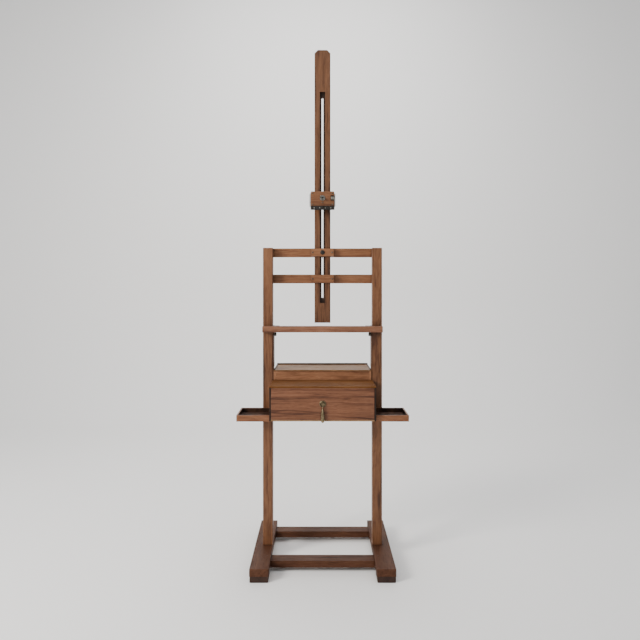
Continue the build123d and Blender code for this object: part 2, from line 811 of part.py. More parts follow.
def hinge_leaf(centre_x, z, knuckle_shares):
    """One leaf of a butt hinge against the back of the box, with its share of the knuckles."""
    x = (centre_x - hinge_length / 2, centre_x + hinge_length / 2)
    leaf = board(x, (box_rear, box_rear + hinge_leaf_thickness), z)
    for at in hinge_screw_places(centre_x, z):
        leaf -= flush_hole(at, to_front, hinge_screw_head, hinge_screw_radius, hinge_screw_length)
    axis = Vector(x[0], hinge_y, hinge_z)
    barrel = rod(axis, to_right, hinge_knuckle_radius, hinge_length)
    tab_z = (min(hinge_z, z[0]), max(hinge_z, z[1]))
    tab = board(x, (box_rear, box_rear + hinge_leaf_thickness), tab_z)
    for low, high in knuckle_shares:
        low_x = x[0] + hinge_length * low + 0.15
        high_x = x[0] + hinge_length * high - 0.15
        near = (hinge_z - hinge_knuckle_radius - 1, hinge_z + hinge_knuckle_radius + 1)
        span = board((low_x, high_x), (box_rear - 5, hinge_y + 5), near)
        leaf += (barrel + tab) & span
    return leaf - rod(axis - to_right, to_right, hinge_pin_radius + running_clearance, hinge_length + 2)


box_leaf_z = (hinge_z - hinge_leaf_height, hinge_z - hinge_knuckle_radius - 0.5)
lid_leaf_z = (hinge_z + hinge_knuckle_radius + 0.5, hinge_z + hinge_leaf_height)


def hinge_leaves(z, knuckle_shares):
    return [hinge_leaf(x, z, knuckle_shares) for x in (hinge_centre, -hinge_centre)]


def hinge_screws(z):
    places = [at for x in (hinge_centre, -hinge_centre) for at in hinge_screw_places(x, z)]
    sizes = (hinge_screw_head, hinge_screw_radius, hinge_screw_length)
    return [flush_screw(at, to_front, *sizes) for at in places]


def hinge_screw_holes(z):
    places = [at for x in (hinge_centre, -hinge_centre) for at in hinge_screw_places(x, z)]
    sizes = (hinge_screw_head, hinge_screw_radius, hinge_screw_length)
    return [flush_hole(at, to_front, *sizes) for at in places]


def hinge_pins():
    starts = [x - hinge_length / 2 for x in (hinge_centre, -hinge_centre)]
    return [rod(Vector(x, hinge_y, hinge_z), to_right, hinge_pin_radius, hinge_length) for x in starts]


# ---------------------------------------------------------------- drawer
def drawer_front():
    z = (drawer_bottom, drawer_front_top)
    panel = board((-drawer_half, drawer_half), (box_front, shell_front), z, eased_small)
    hole_start = Vector(0, box_front - 1, pull_z)
    return panel - rod(hole_start, to_back, pull_tail_radius + joint_clearance, drawer_front_thickness + 2)


def drawer_walls():
    """The two sides and the back of the drawer."""
    z = (drawer_shell_bottom, drawer_shell_top)
    half = drawer_shell_half - drawer_wall
    side = board((half, drawer_shell_half), (shell_front, drawer_rear), z)
    back = board((-half, half), (drawer_rear - drawer_wall, drawer_rear), z)
    return [*both(side), back]


def drawer_bottom_panel():
    half = drawer_shell_half - drawer_wall
    z = (drawer_shell_bottom, drawer_shell_bottom + drawer_bottom_thickness)
    return board((-half, half), (shell_front, drawer_rear - drawer_wall), z)


def divider_places():
    """The front faces of the two cross dividers, which split the drawer into three."""
    inside = drawer_rear - drawer_wall - shell_front
    return [shell_front + inside * share for share in (0.36, 0.68)]


def drawer_dividers():
    half = drawer_shell_half - drawer_wall
    z = (drawer_shell_bottom + drawer_bottom_thickness, drawer_shell_top - 12.0)
    return [board((-half, half), (y, y + divider_thickness), z) for y in divider_places()]


# ---------------------------------------------------------------- drawer pull
def pull_plate():
    """The round plate behind the pull, turned with a raised rim."""
    at = Vector(0, box_front, pull_z)
    disc = rod(at, to_front, pull_plate_radius, pull_plate_thickness * 0.5)
    step = rod(at, to_front, pull_plate_radius * 0.72, pull_plate_thickness)
    disc = fillet((disc + step).edges().filter_by(GeomType.CIRCLE).sort_by(Axis.Y)[:3], 0.5)
    return disc - rod(at, to_front, pull_tail_radius + joint_clearance, pull_plate_thickness * 2)


def pull_stud():
    """The forked stud that the drop hangs in, with its threaded tail and the pin across the fork."""
    plate_front = box_front - pull_plate_thickness
    tail_end = shell_front + 2.0
    tail = rod(Vector(0, tail_end, pull_z), to_front, pull_tail_radius, tail_end - plate_front)
    base = Vector(0, plate_front, pull_z)
    fork = rod(base, to_front, pull_stud_radius, pull_pin_standoff - pull_plate_thickness)
    tip = rod(Vector(-pull_stud_radius, pull_y, pull_z), to_right, pull_eye_radius, pull_stud_radius * 2)
    fork = fork + (tip & rod(base, to_front, pull_stud_radius, 14.0))
    half_slot = pull_eye_thickness / 2 + 0.25
    slot_front = pull_y - 6.0
    slot = board((-half_slot, half_slot), (slot_front, pull_y + 4.6), (pull_z - 8, pull_z + 8))
    pin_reach = pull_stud_radius * 0.9
    pin = rod(Vector(-pin_reach, pull_y, pull_z), to_right, pull_pin_radius, pin_reach * 2)
    return tail + (fork - slot) + pin


def pull_drop():
    """The hanging drop: an eye on the pin, a slim neck and a long teardrop, turned in brass."""
    eye_start = Vector(-pull_eye_thickness / 2, pull_y, pull_z)
    eye = rod(eye_start, to_right, pull_eye_radius, pull_eye_thickness)
    bottom = pull_z - pull_drop_length
    neck_top = pull_z - 2.6
    with BuildPart() as turned:
        with BuildSketch(Plane.XZ):
            with BuildLine():
                top = Line((0, neck_top), (1.3, neck_top))
                neck = Line(top @ 1, (1.3, pull_z - 9.0))
                bead = ThreePointArc(neck @ 1, (3.2, pull_z - 11.0), (1.5, pull_z - 13.0))
                body = Spline(
                    bead @ 1,
                    (pull_drop_radius * 0.75, pull_z - pull_drop_length * 0.45),
                    (pull_drop_radius, bottom + pull_drop_length * 0.26),
                    (0, bottom),
                    tangents=((0.25, -1), (-1, 0)),
                )
                Line(body @ 1, (0, neck_top))
            make_face()
        revolve(axis=Axis.Z)
    drop = eye + Pos(0, pull_y, 0) * turned.part
    bore = rod(Vector(-5, pull_y, pull_z), to_right, pull_pin_radius + running_clearance, 10)
    return drop - bore


# ---------------------------------------------------------------- side trays
def tray_floors():
    x = (tray_inner, tray_outer)
    return both(board(x, (tray_front, tray_rear), (tray_bottom, tray_floor_top)))


def tray_walls():
    """The front, back and end walls of the right-hand tray; the box closes its inner end."""
    z = (tray_floor_top, tray_top)
    front = board((tray_inner, tray_outer), (tray_front, tray_front + tray_wall), z)
    back = board((tray_inner, tray_outer), (tray_rear - tray_wall, tray_rear), z)
    for at in tray_screw_places():
        hole = flush_hole(at, to_right, tray_screw_head, tray_screw_radius, tray_screw_length)
        front -= hole
        back -= hole
    end = board((tray_outer - tray_wall, tray_outer), (tray_front + tray_wall, tray_rear - tray_wall), z)
    return [front, back, end]


# ---------------------------------------------------------------- the nodes
right_foot, left_foot = feet()
front_stretcher_y, rear_stretcher_y = stretcher_places()
right_post, left_post = posts()
right_stile, left_stile = stiles()
right_side, left_side = box_sides()
right_floor, left_floor = tray_floors()
right_thumbscrew, left_thumbscrew = both(thumbscrew())
right_tray_walls = tray_walls()

nodes = {
    "foot_right": right_foot,
    "foot_left": left_foot,
    "foot_pads": foot_pads(),
    "stretcher_front": stretcher(front_stretcher_y),
    "stretcher_rear": stretcher(rear_stretcher_y),
    "joint_pegs": joint_pegs(),
    "post_right": right_post,
    "post_left": left_post,
    "top_rail": guide_rail(top_rail_z),
    "middle_rail": guide_rail(middle_rail_z),
    "rail_screws": rail_screws(),
    "guide_cleats": guide_cleats(),
    "guide_keepers": guide_keepers(),
    "mast_bolt": coach_bolt(mast_bolt_at, to_back, mast_bolt_length),
    "mast_bolt_washer": washer(Vector(0, rail_y[1], mast_bolt_at.Z), to_back),
    "mast_wing_nut": wing_nut(mast_nut_at, to_back, *mast_nut_sizes, turn=0.0),
    "mast": mast(),
    "clamp_block": clamp_block(),
    "clamp_tongue": clamp_tongue(),
    "clamp_cheeks": clamp_cheeks(),
    "clamp_back_plate": clamp_plate(),
    "clamp_lip": clamp_lip(),
    "clamp_screws": clamp_screws(),
    "clamp_bolt": coach_bolt(clamp_bolt_at, to_front, clamp_bolt_length),
    "clamp_washer": washer(clamp_washer_at, to_front),
    "clamp_wing_nut": wing_nut(clamp_nut_at, to_front, *clamp_nut_sizes, turn=45.0),
    "clamp_side_knob": side_knob(),
    "picture_ledge": ledge(),
    "ledge_blocks": ledge_blocks(),
    "ledge_guide_right": right_stile,
    "ledge_guide_left": left_stile,
    "thumbscrew_right": right_thumbscrew,
    "thumbscrew_left": left_thumbscrew,
    "ledge_stops": ledge_stops(),
    "box_side_right": right_side,
    "box_side_left": left_side,
    "box_back": box_back(),
    "box_floor": box_floor_board(),
    "box_top_front": box_top_front(),
    "box_screws": box_screws(),
    "well_floor": well_floor_board(),
    "well_walls": well_walls(),
    "drawer_guides": drawer_guides(),
    "lid_panel": lid_panel(),
    "lid_walls": lid_walls(),
    "lid_rim": lid_rim(),
    "lid_hinge_leaves": hinge_leaves(lid_leaf_z, ((0.33, 0.67),)),
    "lid_hinge_screws": hinge_screws(lid_leaf_z),
    "box_hinge_leaves": hinge_leaves(box_leaf_z, ((0.0, 0.33), (0.67, 1.0))),
    "box_hinge_screws": hinge_screws(box_leaf_z),
    "hinge_pins": hinge_pins(),
    "drawer_front": drawer_front(),
    "drawer_walls": drawer_walls(),
    "drawer_bottom": drawer_bottom_panel(),
    "drawer_dividers": drawer_dividers(),
    "pull_plate": pull_plate(),
    "pull_stud": pull_stud(),
    "pull_drop": pull_drop(),
    "side_trays": [right_floor, left_floor, *[copy for wall in right_tray_walls for copy in both(wall)]],
}

os.makedirs("parts", exist_ok=True)
for name, pieces in nodes.items():
    solids = pieces if isinstance(pieces, list) else [pieces]
    export_step(Compound(children=[Part(s.wrapped) for s in solids]), f"parts/{name}.step")
print(len(nodes), "nodes written")
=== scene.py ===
import math

import bpy
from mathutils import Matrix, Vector


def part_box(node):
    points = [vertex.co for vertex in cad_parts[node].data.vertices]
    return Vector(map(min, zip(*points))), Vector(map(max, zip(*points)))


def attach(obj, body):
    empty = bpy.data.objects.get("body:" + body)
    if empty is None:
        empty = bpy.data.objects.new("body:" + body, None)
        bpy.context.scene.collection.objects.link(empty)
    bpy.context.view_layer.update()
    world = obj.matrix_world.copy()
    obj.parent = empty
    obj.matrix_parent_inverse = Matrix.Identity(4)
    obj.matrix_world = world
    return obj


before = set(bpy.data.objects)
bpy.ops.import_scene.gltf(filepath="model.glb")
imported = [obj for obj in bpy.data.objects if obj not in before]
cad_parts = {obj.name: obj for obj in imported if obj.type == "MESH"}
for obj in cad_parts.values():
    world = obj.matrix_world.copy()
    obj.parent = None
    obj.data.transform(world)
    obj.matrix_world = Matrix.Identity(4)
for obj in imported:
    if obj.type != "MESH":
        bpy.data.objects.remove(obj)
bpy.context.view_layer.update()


# ---------------------------------------------------------------- studio
# A pale floor that runs up into a pale wall in one sweep, a soft window light on the left, a weak
# one on the right, a wash on the wall and an even pale sky. The camera is level, 1.2 m up.

def plain(name, colour, roughness):
    """A material of one colour, for the studio only."""
    material = bpy.data.materials.new(name)
    material.use_nodes = True
    shader = material.node_tree.nodes["Principled BSDF"]
    shader.inputs["Base Color"].default_value = (*colour, 1.0)
    shader.inputs["Roughness"].default_value = roughness
    return material


def sweep(name, half_width, front, back, height, radius):
    """A floor that curves up into a wall."""
    steps = 24
    line = [(front, 0.0), (back - radius, 0.0)]
    for step in range(1, steps + 1):
        turn = math.pi / 2 * step / steps
        line.append((back - radius + radius * math.sin(turn), radius - radius * math.cos(turn)))
    line.append((back, height))
    points = [(side * half_width, y, z) for y, z in line for side in (-1, 1)]
    faces = [(2 * i, 2 * i + 1, 2 * i + 3, 2 * i + 2) for i in range(len(line) - 1)]
    mesh = bpy.data.meshes.new(name)
    mesh.from_pydata(points, [], faces)
    mesh.shade_smooth()
    studio = bpy.data.objects.new(name, mesh)
    bpy.context.collection.objects.link(studio)
    return studio


def soft_light(name, place, target, size, power, colour=(1.0, 1.0, 1.0)):
    """A square area light that points at a target. Its power is in watts."""
    lamp = bpy.data.lights.new(name, "AREA")
    lamp.shape = "SQUARE"
    lamp.size = size
    lamp.energy = power
    lamp.color = colour
    light = bpy.data.objects.new(name, lamp)
    light.location = place
    light.rotation_euler = (Vector(target) - Vector(place)).to_track_quat("-Z", "Y").to_euler()
    light.visible_camera = False
    bpy.context.collection.objects.link(light)


backdrop = sweep("studio_sweep", half_width=7.0, front=-7.0, back=3.8, height=6.0, radius=1.2)
backdrop.data.materials.append(plain("studio_paint", (0.93, 0.915, 0.895), roughness=0.9))

warm_white = (1.0, 0.97, 0.93)
cool_white = (0.96, 0.98, 1.0)
soft_light("window_left", (-3.2, -2.6, 2.6), (0.0, 0.0, 1.0), 1.5, 205, warm_white)
soft_light("window_right", (3.6, -2.2, 2.2), (0.0, 0.0, 0.9), 2.6, 4, cool_white)
soft_light("ceiling_bounce", (0.0, -0.6, 4.2), (0.0, 0.2, 0.0), 3.6, 64)
soft_light("backdrop_wash", (0.0, 1.7, 4.0), (0.0, 3.8, 1.2), 2.4, 66)

sky = bpy.data.worlds.new("pale_sky")
sky.use_nodes = True
sky.node_tree.nodes["Background"].inputs["Color"].default_value = (0.93, 0.96, 1.0, 1.0)
sky.node_tree.nodes["Background"].inputs["Strength"].default_value = 0.54
bpy.context.scene.world = sky

lens = bpy.data.cameras.new("camera")
lens.sensor_width = 36.0
lens.lens = 36.0
lens.shift_y = -0.0437
camera = bpy.data.objects.new("camera", lens)
camera.location = (-0.0113, -2.922, 1.2)
camera.rotation_euler = (math.radians(90.0), 0.0, 0.0)
bpy.context.collection.objects.link(camera)
bpy.context.scene.camera = camera


# ---------------------------------------------------------------- feet and pads
# Two heavy oak runners, dark with old wax and scuffed along their edges, on short pads much darker
# than the runners.
# The boards are sawn from the log along their length, so rings show on their ends.

class Value:
    """An output socket of a shader node, on which arithmetic adds Math nodes."""

    def __init__(self, finish, socket):
        self.finish = finish
        self.socket = socket

    def maths(self, operation, *operands):
        values = dict(enumerate(operands))
        return self.finish.node("Math", {"operation": operation}, values)

    def __add__(self, other):
        return self.maths("ADD", self, other)

    def __radd__(self, other):
        return self.maths("ADD", other, self)

    def __sub__(self, other):
        return self.maths("SUBTRACT", self, other)

    def __rsub__(self, other):
        return self.maths("SUBTRACT", other, self)

    def __mul__(self, other):
        return self.maths("MULTIPLY", self, other)

    def __rmul__(self, other):
        return self.maths("MULTIPLY", other, self)

    def __truediv__(self, other):
        return self.maths("DIVIDE", self, other)

    def __rtruediv__(self, other):
        return self.maths("DIVIDE", other, self)

    def __gt__(self, other):
        return self.maths("GREATER_THAN", self, other)

    def fraction(self):
        return self.maths("FRACT", self)

    def size(self):
        return self.maths("ABSOLUTE", self)

    def root(self):
        return self.maths("SQRT", self)


class Finish:
    """A material whose node tree is built up node by node."""

    def __init__(self, name):
        self.material = bpy.data.materials.new(name)
        self.material.use_nodes = True
        self.tree = self.material.node_tree
        self.tree.nodes.clear()

    def node(self, kind, settings=None, sockets=None, output=0):
        """Adds a node, makes its settings, sets or links its inputs, and returns an output."""
        made = self.tree.nodes.new("ShaderNode" + kind)
        for setting, value in (settings or {}).items():
            if setting == "stops":
                ramp = made.color_ramp
                while len(ramp.elements) < len(value):
                    ramp.elements.new(0.5)
                for element, (place, colour) in zip(ramp.elements, value):
                    element.position = place
                    element.color = (*colour, 1.0) if len(colour) == 3 else colour
            else:
                setattr(made, setting, value)
        for key, value in (sockets or {}).items():
            socket = made.inputs[key]
            if isinstance(value, Value):
                self.tree.links.new(value.socket, socket)
            else:
                socket.default_value = value
        return Value(self, made.outputs[output])

    def ramp(self, value, low, high, from_value=0.0, to_value=1.0):
        """A value that runs smoothly from from_value at low to to_value at high."""
        limits = {"Value": value, "From Min": low, "From Max": high}
        limits.update({"To Min": from_value, "To Max": to_value})
        return self.node("MapRange", {"interpolation_type": "SMOOTHSTEP"}, limits)

    def within(self, value, low, high):
        """A mask of the stretch between low and high, with soft ends."""
        soft = 0.0004
        return self.ramp(value, low - soft, low + soft) * self.ramp(value, high + soft, high - soft)

    def blend(self, amount, first, second):
        """Two colours or vectors mixed by an amount."""
        settings = {"data_type": "RGBA", "blend_type": "MIX", "clamp_factor": True}
        return self.node("Mix", settings, {0: amount, 6: first, 7: second}, 2)

    def noise(self, place, scale, detail=3.0, roughness=0.55, distortion=0.0):
        """A smooth random value that changes from place to place."""
        sockets = {"Vector": place, "Scale": scale, "Detail": detail}
        sockets.update({"Roughness": roughness, "Distortion": distortion})
        return self.node("TexNoise", {"noise_dimensions": "3D"}, sockets)

    def place(self):
        """The point on the piece, in metres."""
        return self.node("TexCoord", output=3)

    def split(self, vector):
        """The three axes of a vector."""
        return [self.node("SeparateXYZ", sockets={0: vector}, output=axis) for axis in range(3)]

    def join(self, x, y, z):
        """A vector made of three values."""
        return self.node("CombineXYZ", sockets={0: x, 1: y, 2: z})

    def worn_edges(self, reach):
        """A mask of the piece's outer edges, one reach wide."""
        rounded = self.node("Bevel", {"samples": 4}, {"Radius": reach})
        straight = self.node("NewGeometry", output=1)
        across = self.node("VectorMath", {"operation": "DOT_PRODUCT"}, {0: rounded, 1: straight}, 1)
        return self.ramp(1.0 - across, 0.02, 0.22)

    def hollows(self, reach):
        """A mask of the shut-in corners and seams, found by ambient occlusion."""
        open_air = self.node("AmbientOcclusion", {"samples": 6}, {"Distance": reach}, 1)
        return self.ramp(1.0 - open_air, 0.25, 0.85)

    def close(self, **inputs):
        """Ends the tree in a principled shader and the output, and returns the material."""
        named = {key.replace("_", " "): value for key, value in inputs.items()}
        shader = self.node("BsdfPrincipled", sockets=named)
        end = self.tree.nodes.new("ShaderNodeOutputMaterial")
        self.tree.links.new(shader.socket, end.inputs["Surface"])
        return self.material


def shade(colour, amount):
    """A colour made lighter or darker."""
    return tuple(channel * amount for channel in colour)


# The axes of a board whose grain lies along X, Y or Z: its length, its width and its depth.
along_x = (0, 1, 2)
along_y = (1, 0, 2)
along_z = (2, 0, 1)


def timber(
    name,
    colour,
    grain,
    pith=(0.12, 0.05),
    lean=(0.02, 0.03),
    figure=1.0,
    roughness=0.46,
    wax=0.12,
    shine=0.28,
    cross_grain_beyond=None,
    shaded_room=None,
):
    """Waxed oak sawn from a log that lies along the grain.

    pith is how far the log's middle lies from the frame's axes across the grain, and lean is how
    much the log leans against the board, which draws its rings out into pointed arches. figure is
    how strongly the rings and streaks show, wax is the weight of the coat and shine the strength
    of the reflections. Past cross_grain_beyond, on either side of the middle, the cross pieces of
    the same node have their grain along Y. The last argument is the low and the high corner of a
    room, given on the right-hand side, in which the wood is darkened with painted shade.
    """
    wood = Finish(name)
    place = wood.place()
    axes = wood.split(place)

    def board_place(order):
        length, width, depth = (axes[axis] for axis in order)
        return wood.join(width, depth, length)

    local = board_place(grain)
    if cross_grain_beyond is not None:
        cross_piece = axes[0].size() > cross_grain_beyond
        local = wood.blend(cross_piece, local, board_place(along_y))

    def stretched(across, along):
        return wood.node("Mapping", {}, {"Vector": local, "Scale": (across, across, along)})

    # The rings, by distance from the pith, in a log that sways and ripples.
    year_width = 0.0031
    width, depth, length = wood.split(local)
    sway = wood.noise(stretched(3.0, 1.1), 1.0, 2.0) - 0.5
    ripple = wood.noise(stretched(16.0, 9.0), 1.0, 2.0) - 0.5
    across = width - pith[0] + length * lean[0] + sway * 0.07
    through = depth - pith[1] + length * lean[1] + sway * 0.03
    radius = (across * across + through * through).root() + ripple * 0.011
    rings = wood.noise(wood.join(radius * 95.0, length * 1.7, depth * 3.0), 1.0, 4.0, 0.62)
    dark_rings = wood.ramp(rings, 0.53, 0.68)
    pale_rings = wood.ramp(rings, 0.47, 0.34)
    year = (radius / year_width + sway * 3.0).fraction()
    early_wood = wood.ramp(year, 0.0, 0.2) * (1.0 - wood.ramp(year, 0.35, 0.9))

    # What is finer than the rings, drawn out along the grain.
    streaks = wood.ramp(wood.noise(stretched(75.0, 5.0), 1.0, 4.0, 0.62, 0.4), 0.5, 0.68)
    fibres = wood.noise(stretched(420.0, 9.0), 1.0, 3.0, 0.7)
    pores = wood.ramp(wood.noise(stretched(760.0, 26.0), 1.0, 2.0, 0.6), 0.58, 0.7) * early_wood
    mottle = wood.noise(stretched(130.0, 26.0), 1.0, 2.0, 0.6)
    patches = wood.noise(stretched(9.0, 5.0), 1.0, 3.0)
    flecks = wood.ramp(wood.noise(stretched(150.0, 45.0), 1.0, 0.0), 0.66, 0.78)

    # One tone for all of it, which picks the colour.
    tone = 0.56 - dark_rings * 0.22 * figure + pale_rings * 0.1 * figure - early_wood * 0.07
    tone = tone - streaks * 0.16 * figure
    tone = tone + (fibres - 0.5) * 0.42 + (mottle - 0.5) * 0.34
    tone = tone + (patches - 0.5) * 0.42 + flecks * 0.07
    darkest = tuple(channel * part for channel, part in zip(colour, (0.36, 0.3, 0.27)))
    darker = tuple(channel * part for channel, part in zip(colour, (0.72, 0.67, 0.63)))
    paler = tuple(min(1.0, channel * part) for channel, part in zip(colour, (1.42, 1.5, 1.6)))
    stops = [(0.12, darkest), (0.38, darker), (0.53, colour), (0.8, paler)]
    base = wood.node("ValToRGB", {"stops": stops}, {"Fac": tone})
    base = wood.blend(pores * 0.6, base, (*shade(colour, 0.25), 1.0))

    # Edges that are dark with handling and rubbed pale in places, painted shade in a given room,
    # and painted shade mixed with dirt in the seams.
    edges = wood.worn_edges(0.0026)
    rubbed = wood.ramp(wood.noise(place, 60.0, 3.0), 0.5, 0.62)
    shade_and_dirt_colour = (*shade(colour, 0.1), 1.0)
    base = wood.blend(edges * 0.62, base, (*shade(colour, 0.32), 1.0))
    base = wood.blend(edges * rubbed * 0.5, base, (*shade(colour, 1.5), 1.0))
    # Painted shade, in uneven patches, inside the room given as the last argument.
    if shaded_room is not None:
        both_sides = [axes[0].size(), *axes[1:]]
        room = [wood.within(*limits) for limits in zip(both_sides, *shaded_room)]
        shade_patches = wood.ramp(wood.noise(place, 24.0, 3.0), 0.3, 0.62, 0.72, 1.0)
        painted_shade = room[0] * room[1] * room[2] * shade_patches
        base = wood.blend(painted_shade, base, shade_and_dirt_colour)
    # Painted shade in the shut-in corners and seams, broken up with dirt.
    seam_shade_and_dirt = wood.hollows(0.02) * wood.ramp(wood.noise(place, 30.0, 2.0), 0.25, 0.7, 0.65, 1.0)
    base = wood.blend(seam_shade_and_dirt * 0.85, base, shade_and_dirt_colour)

    smears = wood.noise(place, 11.0, 4.0, 0.6)
    rough = roughness + (smears - 0.5) * 0.22 + pores * 0.2 + seam_shade_and_dirt * 0.2 - edges * 0.06
    if shaded_room is not None:
        rough = rough + painted_shade * 0.35
    relief = fibres * 0.35 - dark_rings * 0.3 - pores * 0.8 + smears * 0.3
    bump = wood.node("Bump", {}, {"Strength": 0.4, "Distance": 0.0006, "Height": relief})
    coat = wood.ramp(smears, 0.3, 0.7, wax * 0.5, wax)
    surface = {"Base_Color": base, "Roughness": rough, "Coat_Weight": coat, "Normal": bump}
    return wood.close(Specular_IOR_Level=shine, Coat_Roughness=0.3, **surface)


def wear(node, material):
    """Gives a CAD node its material."""
    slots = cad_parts[node].material_slots
    for slot in slots:
        slot.material = material
    if not slots:
        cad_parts[node].data.materials.append(material)


dark_oak = (0.073, 0.0285, 0.014)
thin_wax = {"roughness": 0.55, "wax": 0.02}
foot_low, foot_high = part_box("foot_right")
foot_middle = (foot_low.x + foot_high.x) / 2
for side, pith, lean in (
    ("right", (foot_middle, -0.02), (0.01, 0.02)),
    ("left", (-foot_middle - 0.03, 0.1), (-0.01, 0.02)),
):
    foot_oak = timber(f"foot_{side}_oak", dark_oak, along_y, pith, lean, shine=0.14, **thin_wax)
    wear("foot_" + side, foot_oak)
pad_oak = timber("pad_oak", shade(dark_oak, 0.42), along_y, (0.0, 0.2), roughness=0.6, wax=0.1)
wear("foot_pads", pad_oak)


# ---------------------------------------------------------------- stretchers and pegs
# The rails between the feet, as dark as the feet, tenoned in and locked by turned oak pegs that
# show as end grain on the feet's tops and sides.

for end, tone, pith in (("front", 1.05, (0.03, -0.05)), ("rear", 1.0, (0.2, 0.09))):
    stretcher_oak = timber(
        f"{end}_stretcher_oak", shade(dark_oak, tone), along_x, pith, shine=0.12, **thin_wax
    )
    wear("stretcher_" + end, stretcher_oak)
wear("joint_pegs", timber("peg_oak", shade(dark_oak, 0.8), along_z, (0.3, 0.1), roughness=0.5))


# ---------------------------------------------------------------- posts and rails
# Two straight oak posts, and the two rails across their backs that carry the mast.

oak = (0.2, 0.083, 0.035)
post_low, post_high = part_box("post_right")
post_middle = (post_low.x + post_high.x) / 2
# The right post is painted a little darker than the left, as shade.
for side, tone, pith, lean in (
    ("left", 0.78, (-post_middle + 0.09, 0.05), (0.012, -0.01)),
    ("right", 0.74, (post_middle - 0.02, 0.1), (-0.008, 0.02)),
):
    post_oak = timber(f"{side}_post_oak", shade(oak, tone), along_z, pith, lean, figure=1.5)
    wear("post_" + side, post_oak)
wear("top_rail", timber("top_rail_oak", oak, along_x, (0.04, 1.28)))
wear("middle_rail", timber("middle_rail_oak", shade(oak, 0.92), along_x, (0.1, 1.2)))


# ---------------------------------------------------------------- screws in the rails
# Slotted round-head screws, darkened with age.

def metal(name, bright, dull, roughness, tarnish, brushed=None):
    """Old metal: bright where it is rubbed, dull in its corners and in cloudy patches.

    tarnish is how much of it is dull, and brushed is how fine its brush marks are along X, Y
    and Z.
    """
    finish = Finish(name)
    place = finish.place()
    clouds = finish.noise(place, 140.0, 4.0, 0.65)
    pits = finish.ramp(finish.noise(place, 900.0, 2.0), 0.6, 0.72)
    dull_mask = finish.ramp(clouds, 0.62 - tarnish * 0.35, 0.72)
    corners = finish.hollows(0.004)
    edges = finish.worn_edges(0.0007)
    base = finish.blend(dull_mask, (*bright, 1.0), (*dull, 1.0))
    base = finish.blend(corners * 0.8, base, (*shade(dull, 0.35), 1.0))
    base = finish.blend(pits * 0.4, base, (*shade(dull, 0.5), 1.0))
    base = finish.blend(edges * 0.6, base, (*bright, 1.0))
    rough = roughness + dull_mask * 0.2 + corners * 0.15 + pits * 0.1 - edges * 0.08
    relief = clouds * 0.4 - pits * 0.6
    if brushed is not None:
        lines = finish.node("Mapping", {}, {"Vector": place, "Scale": brushed})
        brushing = finish.noise(lines, 1.0, 2.0)
        rough = rough + (brushing - 0.5) * 0.25
        relief = relief + brushing * 0.7
    bump = finish.node("Bump", {}, {"Strength": 0.3, "Distance": 0.0002, "Height": relief})
    return finish.close(Base_Color=base, Roughness=rough, Metallic=1.0, Normal=bump)


screw_steel = metal("screw_steel", (0.2, 0.16, 0.12), (0.06, 0.045, 0.035), 0.42, 0.7)
wear("rail_screws", screw_steel)
wear("box_screws", screw_steel)


# ---------------------------------------------------------------- mast and its guides
# A long oak lath with a channel and a slit down its middle, its top corners sawn off. It runs
# behind oak keepers on the rails, where a bolt and a wing nut at the back clamp it.

mast_low, mast_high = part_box("mast")
# Painted shade goes 0.3 mm into the channel's sides and floor, and stays off the mast's front.
shade_half_width = 0.0123
shade_depth = 0.0093
shade_top = mast_high.z - 0.1905
unshaded_front = 0.0008
channel = (
    (-0.001, mast_low.y + unshaded_front, mast_low.z),
    (shade_half_width, mast_low.y + shade_depth, shade_top),
)
mast_oak = timber(
    "mast_oak", shade(oak, 0.6), along_z, (0.05, 0.06), (0.006, 0.012),
    figure=1.7, shaded_room=channel,
)
wear("mast", mast_oak)
wear("guide_cleats", timber("cleat_oak", shade(oak, 0.9), along_z, (0.2, 0.05)))
wear("guide_keepers", timber("keeper_oak", oak, along_x, (0.06, 1.25)))

black_iron = metal("black_iron", (0.06, 0.054, 0.048), (0.02, 0.017, 0.015), 0.42, 0.6)
wear("mast_bolt", black_iron)
wear("mast_bolt_washer", black_iron)
wear("mast_wing_nut", black_iron)


# ---------------------------------------------------------------- canvas clamp
# An oak block that rides on the mast between cheeks, with a steel plate behind it, an iron lip
# that hooks over the canvas, a worn wing nut in front and a knurled knob in its right-hand end.

wear("clamp_block", timber("clamp_oak", shade(oak, 0.88), along_x, (0.06, 1.7), (0.02, 0.05)))
wear("clamp_cheeks", timber("cheek_oak", shade(oak, 0.85), along_z, (0.1, 0.06)))
wear("clamp_tongue", timber("tongue_oak", shade(oak, 0.8), along_z, (0.1, 0.06)))
brushed_steel = metal(
    "brushed_steel", (0.56, 0.55, 0.52), (0.34, 0.32, 0.29), 0.48, 0.3,
    brushed=(30.0, 30.0, 2600.0),
)
aged_steel = metal("aged_steel", (0.42, 0.4, 0.35), (0.035, 0.034, 0.026), 0.28, 0.7)
wear("clamp_back_plate", brushed_steel)
wear("clamp_washer", aged_steel)
wear("clamp_wing_nut", aged_steel)
wear("clamp_side_knob", aged_steel)
wear("clamp_bolt", black_iron)
wear("clamp_lip", black_iron)
wear("clamp_screws", screw_steel)


